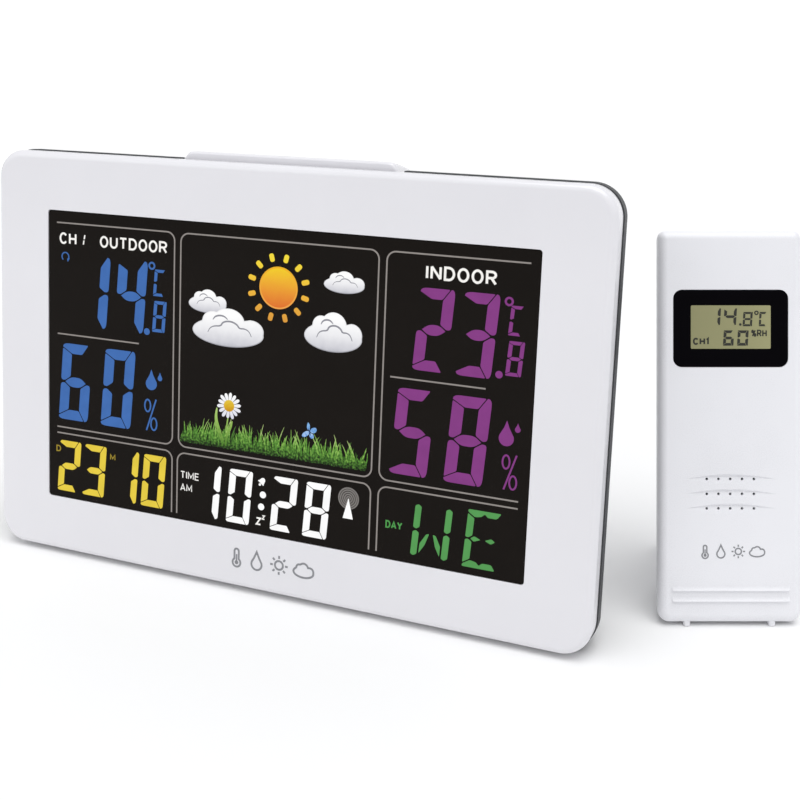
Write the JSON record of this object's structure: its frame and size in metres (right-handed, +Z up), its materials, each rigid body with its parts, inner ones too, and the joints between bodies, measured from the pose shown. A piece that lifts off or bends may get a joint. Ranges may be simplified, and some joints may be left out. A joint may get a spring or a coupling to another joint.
{
  "type": "home weather station",
  "caption": "Tabletop colour weather display in a wide white frame, leaning on a fold-out leg, with a separate tall slim outdoor sensor standing beside it.",
  "frame": {"origin": "centre of the whole set's footprint, on the table", "axes": "+X along the display's width towards the outdoor sensor, +Y away from the viewer, +Z up"},
  "size_m": [0.2504, 0.0872, 0.1314],
  "materials": {
    "white_gloss": "gloss moulded",
    "dark_case": "fine satin grain",
    "window_black": "polished tinted acrylic",
    "lcd": "gloss",
    "diffuser": "milky",
    "rubber_black": "matte",
    "circuit_board": "solder mask",
    "black_plastic": "moulded",
    "steel": "nickel plated",
    "ferrite": "sintered",
    "copper": "enamelled wire",
    "cell_wrap": "printed sleeve"
  },
  "bodies": {
    "display_unit": {"front_frame": "white_gloss", "display_window": "window_black", "lcd_glass": "lcd", "lcd_carrier": "diffuser", "light_guide": "diffuser", "elastomer_strip_1": "rubber_black", "elastomer_strip_2": "rubber_black", "main_board": "circuit_board", "control_chip": "black_plastic", "radio_module": "steel", "antenna_rod": "ferrite", "antenna_coil": "copper", "buzzer": "black_plastic", "indoor_sensor": "diffuser", "power_jack": "black_plastic", "snooze_switch": "black_plastic", "rear_case": "dark_case", "battery_contact_1": "steel", "battery_contact_2": "steel", "foot_left": "rubber_black", "foot_right": "rubber_black", "key_switch_1": "black_plastic", "key_switch_2": "black_plastic", "key_switch_3": "black_plastic", "key_switch_4": "black_plastic", "key_switch_5": "black_plastic", "battery_1": "cell_wrap", "battery_2": "cell_wrap", "battery_3": "cell_wrap", "case_screw_1": "steel", "case_screw_2": "steel", "case_screw_3": "steel", "case_screw_4": "steel"},
    "outdoor_sensor": {"sensor_front_shell": "white_gloss", "sensor_window": "window_black", "sensor_lcd": "lcd", "sensor_board": "circuit_board", "sensor_probe": "diffuser", "sensor_antenna": "copper", "sensor_rear_shell": "white_gloss", "sensor_battery_1": "cell_wrap", "sensor_battery_2": "cell_wrap", "sensor_contact_1": "steel", "sensor_contact_2": "steel"},
    "snooze_bar": {"snooze_bar": "white_gloss"},
    "key_1": {"key_1": "white_gloss"},
    "key_2": {"key_2": "white_gloss"},
    "key_3": {"key_3": "white_gloss"},
    "key_4": {"key_4": "white_gloss"},
    "key_5": {"key_5": "white_gloss"},
    "battery_door": {"battery_door": "dark_case"},
    "stand": {"stand": "dark_case"},
    "sensor_stand": {"sensor_stand": "white_gloss"},
    "sensor_door": {"sensor_door": "white_gloss"},
    "channel_switch": {"channel_switch": "black_plastic"},
    "sensor_key_send": {"sensor_key_send": "dark_case"},
    "sensor_key_unit": {"sensor_key_unit": "dark_case"}
  },
  "joints": [
    {"name": "snooze_press", "type": "slide", "parent": "display_unit", "child": "snooze_bar", "axis": [0, -0.1045, -0.9945], "range_m": [0, 0.001], "stiffness_N_per_m": 600, "springref_m": -0.001},
    {"name": "key_1_press", "type": "slide", "parent": "display_unit", "child": "key_1", "axis": [0, -0.9945, 0.1045], "range_m": [0, 0.0007], "stiffness_N_per_m": 400, "springref_m": -0.001},
    {"name": "key_2_press", "type": "slide", "parent": "display_unit", "child": "key_2", "axis": [0, -0.9945, 0.1045], "range_m": [0, 0.0007], "stiffness_N_per_m": 400, "springref_m": -0.001},
    {"name": "key_3_press", "type": "slide", "parent": "display_unit", "child": "key_3", "axis": [0, -0.9945, 0.1045], "range_m": [0, 0.0007], "stiffness_N_per_m": 400, "springref_m": -0.001},
    {"name": "key_4_press", "type": "slide", "parent": "display_unit", "child": "key_4", "axis": [0, -0.9945, 0.1045], "range_m": [0, 0.0007], "stiffness_N_per_m": 400, "springref_m": -0.001},
    {"name": "key_5_press", "type": "slide", "parent": "display_unit", "child": "key_5", "axis": [0, -0.9945, 0.1045], "range_m": [0, 0.0007], "stiffness_N_per_m": 400, "springref_m": -0.001},
    {"name": "battery_door_slide", "type": "slide", "parent": "display_unit", "child": "battery_door", "axis": [-1, 0, 0], "range_m": [0, 0.052]},
    {"name": "stand_hinge", "type": "hinge", "parent": "display_unit", "child": "stand", "pos_m": [-0.02542, -0.0089, 0.04218], "axis": [1, 0, 0], "range_deg": [-21.5, 0]},
    {"name": "sensor_lift", "type": "slide", "parent": "display_unit", "child": "outdoor_sensor", "axis": [0, 0, 1], "range_m": [0, 0.06]},
    {"name": "sensor_stand_hinge", "type": "hinge", "parent": "outdoor_sensor", "child": "sensor_stand", "pos_m": [0.09338, 0.02555, 0.05745], "axis": [0.9262, 0.377, 0], "range_deg": [-26.4, 0]},
    {"name": "sensor_door_slide", "type": "slide", "parent": "outdoor_sensor", "child": "sensor_door", "axis": [0.0893, -0.2194, -0.9715], "range_m": [0, 0.05]},
    {"name": "channel_slide", "type": "slide", "parent": "outdoor_sensor", "child": "channel_switch", "axis": [0.9262, 0.377, 0], "range_m": [0, 0.0064]},
    {"name": "sensor_key_send_press", "type": "slide", "parent": "outdoor_sensor", "child": "sensor_key_send", "axis": [0.3663, -0.8998, 0.2368], "range_m": [0, 0.0006], "stiffness_N_per_m": 400, "springref_m": -0.001},
    {"name": "sensor_key_unit_press", "type": "slide", "parent": "outdoor_sensor", "child": "sensor_key_unit", "axis": [0.3663, -0.8998, 0.2368], "range_m": [0, 0.0006], "stiffness_N_per_m": 400, "springref_m": -0.001}
  ]
}
